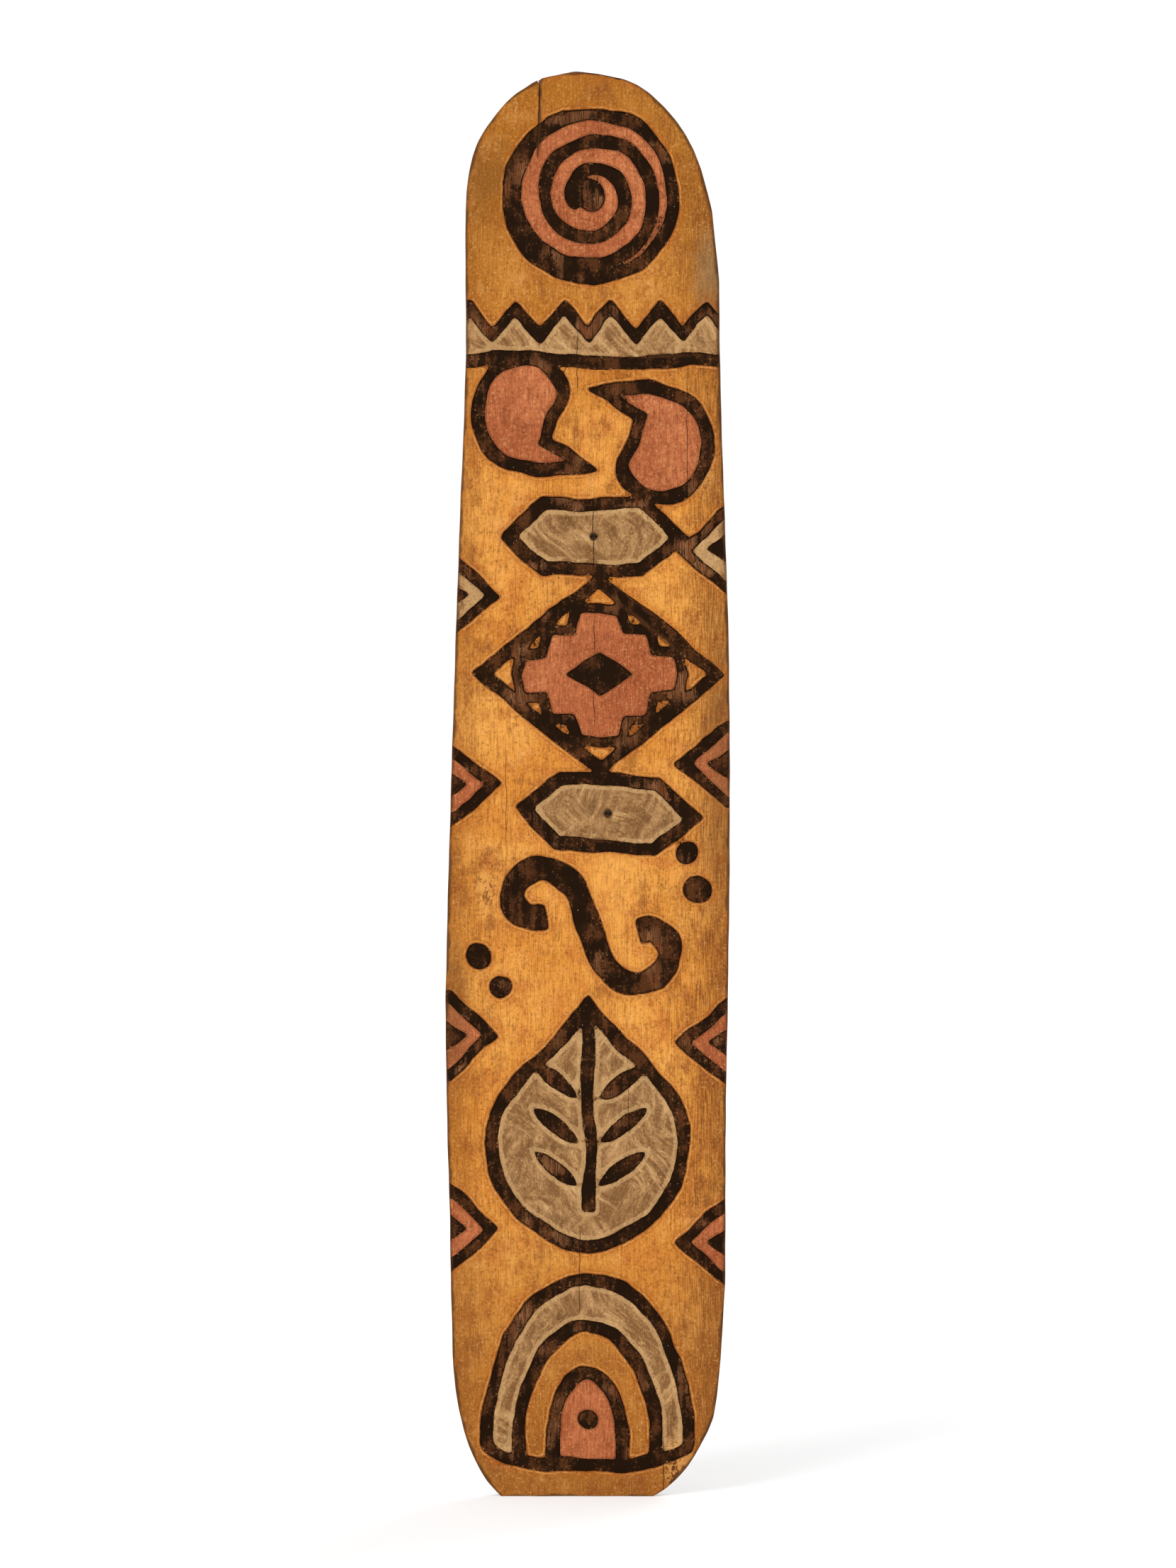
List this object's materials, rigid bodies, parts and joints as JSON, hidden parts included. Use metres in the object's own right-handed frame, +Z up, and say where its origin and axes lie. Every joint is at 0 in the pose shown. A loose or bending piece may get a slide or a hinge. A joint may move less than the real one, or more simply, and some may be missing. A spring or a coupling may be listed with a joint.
{
  "type": "shield",
  "caption": "Long carved and painted board shield with rounded ends and a flat foot, held at the back by a bowed cane grip bound with split cane and wedged in two holes.",
  "frame": {"origin": "on the flat foot, in the middle of the board's width and thickness", "axes": "+Z up the board, -Y the carved front, +Y the side that is held"},
  "size_m": [0.3378, 0.0916, 1.69],
  "materials": {
    "painted_board": "carved, painted in dry earth colours, worn",
    "cane": "smooth, smoke-browned",
    "split_cane": "smooth outer skin, satin",
    "wedge_wood": "matt, dark"
  },
  "bodies": {
    "root": {"board": "painted_board", "main_cane": "cane", "left_side_cane": "cane", "right_side_cane": "cane", "grip_wrap": "split_cane", "lower_end_wrap": "split_cane", "upper_end_wrap": "split_cane", "lower_wedge": "wedge_wood", "upper_wedge": "wedge_wood"}
  },
  "joints": []
}
